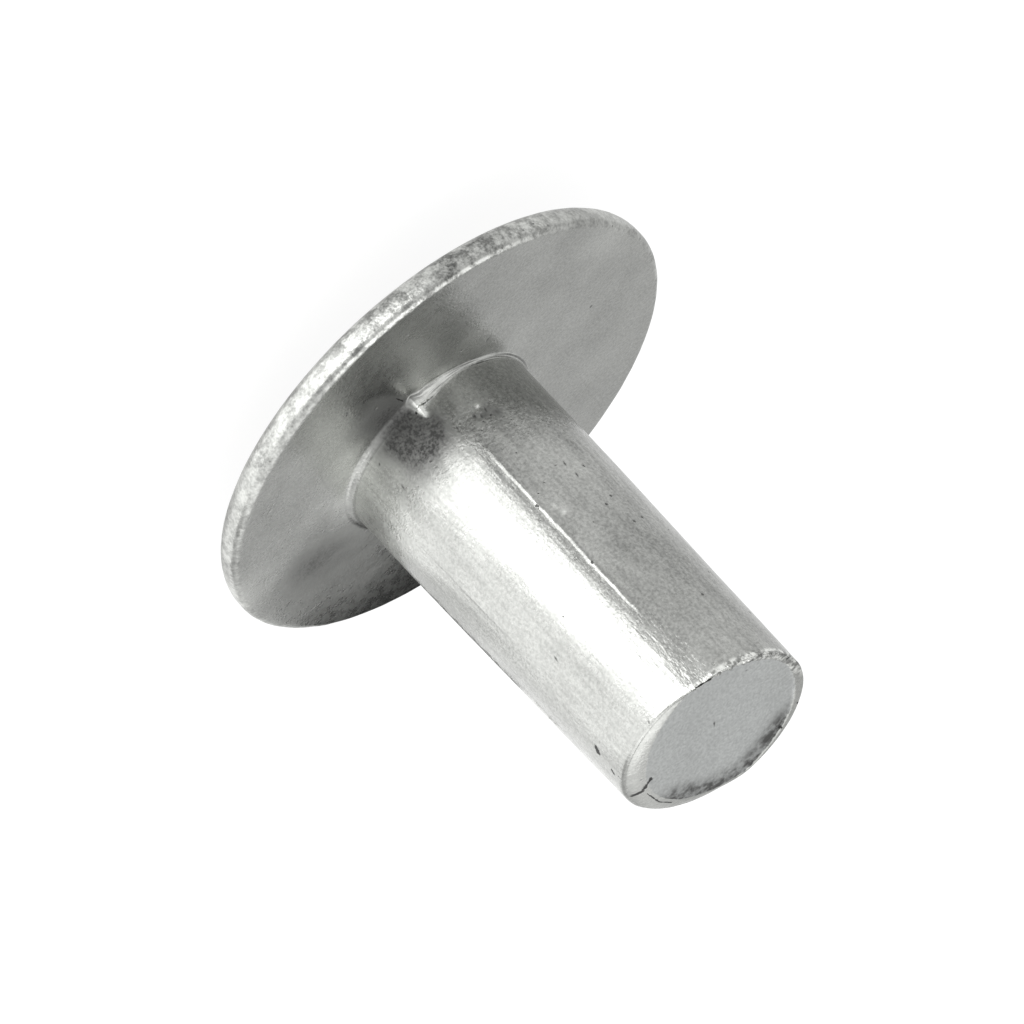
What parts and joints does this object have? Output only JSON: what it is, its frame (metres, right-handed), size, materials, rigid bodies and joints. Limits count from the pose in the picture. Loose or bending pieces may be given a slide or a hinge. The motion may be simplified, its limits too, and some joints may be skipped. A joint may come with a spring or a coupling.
{
  "type": "brazier head rivet",
  "caption": "Solid rivet with a wide, low domed head and a short round shank. The shank goes through a hole in the sheets, and its end is upset to clamp them.",
  "frame": {"origin": "on the shank's axis, at the bearing face under the head", "axes": "+Z along the shank towards its sheared end, so the rivet stands on its crown; -X is the side to which the head sits off centre"},
  "size_m": [0.0157, 0.0158, 0.0155],
  "materials": {
    "bare_aluminium": "bare, cold-headed and tumbled, with die marks and small pits"
  },
  "bodies": {
    "root": {"rivet": "bare_aluminium"}
  },
  "joints": []
}
